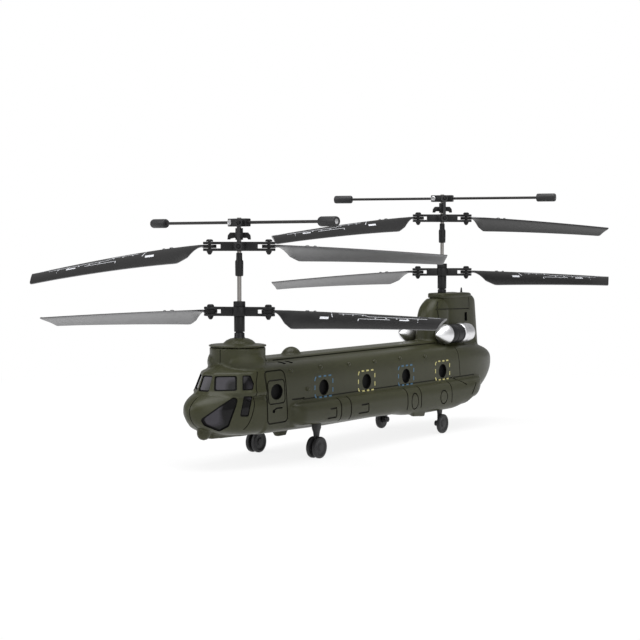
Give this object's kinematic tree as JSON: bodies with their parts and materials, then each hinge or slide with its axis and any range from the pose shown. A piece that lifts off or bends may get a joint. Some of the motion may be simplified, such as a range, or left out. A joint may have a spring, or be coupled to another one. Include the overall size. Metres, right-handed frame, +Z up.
{
  "type": "tandem-rotor model helicopter",
  "caption": "Small flying model of a tandem-rotor transport helicopter with a pair of contra-rotating two-blade rotors and a weighted flybar on each mast.",
  "frame": {"origin": "on the ground, under the middle of the outline with the rotors at rest", "axes": "nose towards -Y, port side towards +X, +Z up"},
  "size_m": [0.1228, 0.2247, 0.0909],
  "materials": {
    "olive_plastic": "moulded, olive drab, satin",
    "smoked_glazing": "dark smoked, glossy",
    "bright_trim": "bright vacuum-plated plastic",
    "black_plastic": "black moulded nylon",
    "wheel_plastic": "dark grey moulded",
    "motor_steel": "plain steel",
    "pinion_brass": "plain brass",
    "gear_plastic": "white acetal",
    "blade_plastic": "charcoal, thin flexible",
    "flybar_steel": "black coated wire",
    "weight_plastic": "dark grey moulded",
    "board_laminate": "green board with black parts",
    "battery_foil": "silver foil pouch"
  },
  "bodies": {
    "airframe": {"left_body_half": "olive_plastic", "right_body_half": "olive_plastic", "cockpit_glazing": "smoked_glazing", "front_pylon_cap": "olive_plastic", "rear_pylon_cap": "olive_plastic", "engine_cones": "bright_trim", "engine_bodies": "black_plastic", "engine_exhausts": "bright_trim", "gear_legs": "black_plastic", "front_frame": "black_plastic", "rear_frame": "black_plastic", "drive_motors": "motor_steel", "mast_bearings": "motor_steel", "circuit_board": "board_laminate", "battery": "battery_foil", "charge_socket": "black_plastic", "body_screws": "motor_steel"},
    "front_inner_rotor": {"front_inner_shaft": "motor_steel", "front_inner_gear": "gear_plastic", "front_sleeves": "black_plastic"},
    "front_outer_rotor": {"front_outer_shaft": "motor_steel", "front_outer_gear": "gear_plastic", "front_lower_hub": "black_plastic", "front_lower_screws": "motor_steel"},
    "front_upper_head": {"front_upper_hub": "black_plastic", "front_upper_screws": "motor_steel"},
    "front_flybar": {"front_flybar_hub": "black_plastic", "front_flybar_wires": "flybar_steel", "front_flybar_weights": "weight_plastic"},
    "front_link": {"front_flybar_link": "weight_plastic"},
    "front_inner_motor": {"front_inner_pinion": "pinion_brass"},
    "front_outer_motor": {"front_outer_pinion": "pinion_brass"},
    "front_upper_blade_a": {"front_upper_blade_a": "blade_plastic"},
    "front_upper_blade_b": {"front_upper_blade_b": "blade_plastic"},
    "front_lower_blade_a": {"front_lower_blade_a": "blade_plastic"},
    "front_lower_blade_b": {"front_lower_blade_b": "blade_plastic"},
    "rear_inner_rotor": {"rear_inner_shaft": "motor_steel", "rear_inner_gear": "gear_plastic", "rear_sleeves": "black_plastic"},
    "rear_outer_rotor": {"rear_outer_shaft": "motor_steel", "rear_outer_gear": "gear_plastic", "rear_lower_hub": "black_plastic", "rear_lower_screws": "motor_steel"},
    "rear_upper_head": {"rear_upper_hub": "black_plastic", "rear_upper_screws": "motor_steel"},
    "rear_flybar": {"rear_flybar_hub": "black_plastic", "rear_flybar_wires": "flybar_steel", "rear_flybar_weights": "weight_plastic"},
    "rear_link": {"rear_flybar_link": "weight_plastic"},
    "rear_inner_motor": {"rear_inner_pinion": "pinion_brass"},
    "rear_outer_motor": {"rear_outer_pinion": "pinion_brass"},
    "rear_upper_blade_a": {"rear_upper_blade_a": "blade_plastic"},
    "rear_upper_blade_b": {"rear_upper_blade_b": "blade_plastic"},
    "rear_lower_blade_a": {"rear_lower_blade_a": "blade_plastic"},
    "rear_lower_blade_b": {"rear_lower_blade_b": "blade_plastic"},
    "front_left_wheels": {"front_left_wheels": "wheel_plastic"},
    "front_right_wheels": {"front_right_wheels": "wheel_plastic"},
    "rear_left_wheel": {"rear_left_wheel": "wheel_plastic"},
    "rear_right_wheel": {"rear_right_wheel": "wheel_plastic"},
    "power_switch": {"power_switch": "gear_plastic"}
  },
  "joints": [
    {"name": "front_inner_spin", "type": "hinge", "parent": "airframe", "child": "front_inner_rotor", "pos_m": [0, -0.06844, 0.0709], "axis": [0, 0, 1], "continuous": true},
    {"name": "front_inner_motor_spin", "type": "hinge", "parent": "airframe", "child": "front_inner_motor", "pos_m": [0.00612, -0.06232, 0.024], "axis": [0, 0, 1], "continuous": true},
    {"name": "front_outer_spin", "type": "hinge", "parent": "airframe", "child": "front_outer_rotor", "pos_m": [0, -0.06844, 0.0498], "axis": [0, 0, 1], "continuous": true},
    {"name": "front_outer_motor_spin", "type": "hinge", "parent": "airframe", "child": "front_outer_motor", "pos_m": [-0.00612, -0.06232, 0.024], "axis": [0, 0, 1], "continuous": true},
    {"name": "front_flybar_teeter", "type": "hinge", "parent": "front_inner_rotor", "child": "front_flybar", "pos_m": [0, -0.06844, 0.0786], "axis": [0.1908, 0.9816, 0], "range_deg": [-15, 15]},
    {"name": "front_hub_feather", "type": "hinge", "parent": "front_inner_rotor", "child": "front_upper_head", "pos_m": [0, -0.06844, 0.0709], "axis": [0.829, 0.5592, 0], "range_deg": [-12, 12]},
    {"name": "front_link_lift", "type": "slide", "parent": "front_inner_rotor", "child": "front_link", "axis": [0, 0, 1], "range_m": [-0.0009, 0.0009]},
    {"name": "front_upper_fold_a", "type": "hinge", "parent": "front_upper_head", "child": "front_upper_blade_a", "pos_m": [0.00796, -0.06307, 0.0709], "axis": [0, 0, 1], "range_deg": [-45, 45]},
    {"name": "front_upper_fold_b", "type": "hinge", "parent": "front_upper_head", "child": "front_upper_blade_b", "pos_m": [-0.00796, -0.07381, 0.0709], "axis": [0, 0, 1], "range_deg": [-45, 45]},
    {"name": "front_lower_fold_a", "type": "hinge", "parent": "front_outer_rotor", "child": "front_lower_blade_a", "pos_m": [0.00867, -0.06432, 0.0498], "axis": [0, 0, 1], "range_deg": [-45, 45]},
    {"name": "front_lower_fold_b", "type": "hinge", "parent": "front_outer_rotor", "child": "front_lower_blade_b", "pos_m": [-0.00867, -0.07256, 0.0498], "axis": [0, 0, 1], "range_deg": [-45, 45]},
    {"name": "rear_inner_spin", "type": "hinge", "parent": "airframe", "child": "rear_inner_rotor", "pos_m": [0, 0.06156, 0.0816], "axis": [0, 0, 1], "continuous": true},
    {"name": "rear_inner_motor_spin", "type": "hinge", "parent": "airframe", "child": "rear_inner_motor", "pos_m": [-0.00612, 0.05544, 0.024], "axis": [0, 0, 1], "continuous": true},
    {"name": "rear_outer_spin", "type": "hinge", "parent": "airframe", "child": "rear_outer_rotor", "pos_m": [0, 0.06156, 0.0605], "axis": [0, 0, 1], "continuous": true},
    {"name": "rear_outer_motor_spin", "type": "hinge", "parent": "airframe", "child": "rear_outer_motor", "pos_m": [0.00612, 0.05544, 0.024], "axis": [0, 0, 1], "continuous": true},
    {"name": "rear_flybar_teeter", "type": "hinge", "parent": "rear_inner_rotor", "child": "rear_flybar", "pos_m": [0, 0.06156, 0.0893], "axis": [-0.2419, 0.9703, 0], "range_deg": [-15, 15]},
    {"name": "rear_hub_feather", "type": "hinge", "parent": "rear_inner_rotor", "child": "rear_upper_head", "pos_m": [0, 0.06156, 0.0816], "axis": [0.7408, 0.6717, 0], "range_deg": [-12, 12]},
    {"name": "rear_link_lift", "type": "slide", "parent": "rear_inner_rotor", "child": "rear_link", "axis": [0, 0, 1], "range_m": [-0.0009, 0.0009]},
    {"name": "rear_upper_fold_a", "type": "hinge", "parent": "rear_upper_head", "child": "rear_upper_blade_a", "pos_m": [0.00711, 0.06801, 0.0816], "axis": [0, 0, 1], "range_deg": [-45, 45]},
    {"name": "rear_upper_fold_b", "type": "hinge", "parent": "rear_upper_head", "child": "rear_upper_blade_b", "pos_m": [-0.00711, 0.05511, 0.0816], "axis": [0, 0, 1], "range_deg": [-45, 45]},
    {"name": "rear_lower_fold_a", "type": "hinge", "parent": "rear_outer_rotor", "child": "rear_lower_blade_a", "pos_m": [0.00736, 0.06772, 0.0605], "axis": [0, 0, 1], "range_deg": [-45, 45]},
    {"name": "rear_lower_fold_b", "type": "hinge", "parent": "rear_outer_rotor", "child": "rear_lower_blade_b", "pos_m": [-0.00736, 0.0554, 0.0605], "axis": [0, 0, 1], "range_deg": [-45, 45]},
    {"name": "front_left_roll", "type": "hinge", "parent": "airframe", "child": "front_left_wheels", "pos_m": [0.0127, -0.04294, 0.00365], "axis": [1, 0, 0], "continuous": true},
    {"name": "front_right_roll", "type": "hinge", "parent": "airframe", "child": "front_right_wheels", "pos_m": [-0.0127, -0.04294, 0.00365], "axis": [1, 0, 0], "continuous": true},
    {"name": "rear_left_roll", "type": "hinge", "parent": "airframe", "child": "rear_left_wheel", "pos_m": [0.0124, 0.03896, 0.00365], "axis": [1, 0, 0], "continuous": true},
    {"name": "rear_right_roll", "type": "hinge", "parent": "airframe", "child": "rear_right_wheel", "pos_m": [-0.0124, 0.03896, 0.00365], "axis": [1, 0, 0], "continuous": true},
    {"name": "switch_slide", "type": "slide", "parent": "airframe", "child": "power_switch", "axis": [0, 1, 0], "range_m": [0, 0.002]}
  ],
  "couplings": [
    {"joint": "front_inner_motor_spin", "follows": "front_inner_spin", "ratio": -5.3333},
    {"joint": "front_outer_motor_spin", "follows": "front_outer_spin", "ratio": -5.3333},
    {"joint": "front_hub_feather", "follows": "front_flybar_teeter", "ratio": 0.70711},
    {"joint": "front_link_lift", "follows": "front_flybar_teeter", "m_per_rad": -0.0028284},
    {"joint": "rear_inner_motor_spin", "follows": "rear_inner_spin", "ratio": -5.3333},
    {"joint": "rear_outer_motor_spin", "follows": "rear_outer_spin", "ratio": -5.3333},
    {"joint": "rear_hub_feather", "follows": "rear_flybar_teeter", "ratio": 0.47255},
    {"joint": "rear_link_lift", "follows": "rear_flybar_teeter", "m_per_rad": -0.0018902}
  ]
}
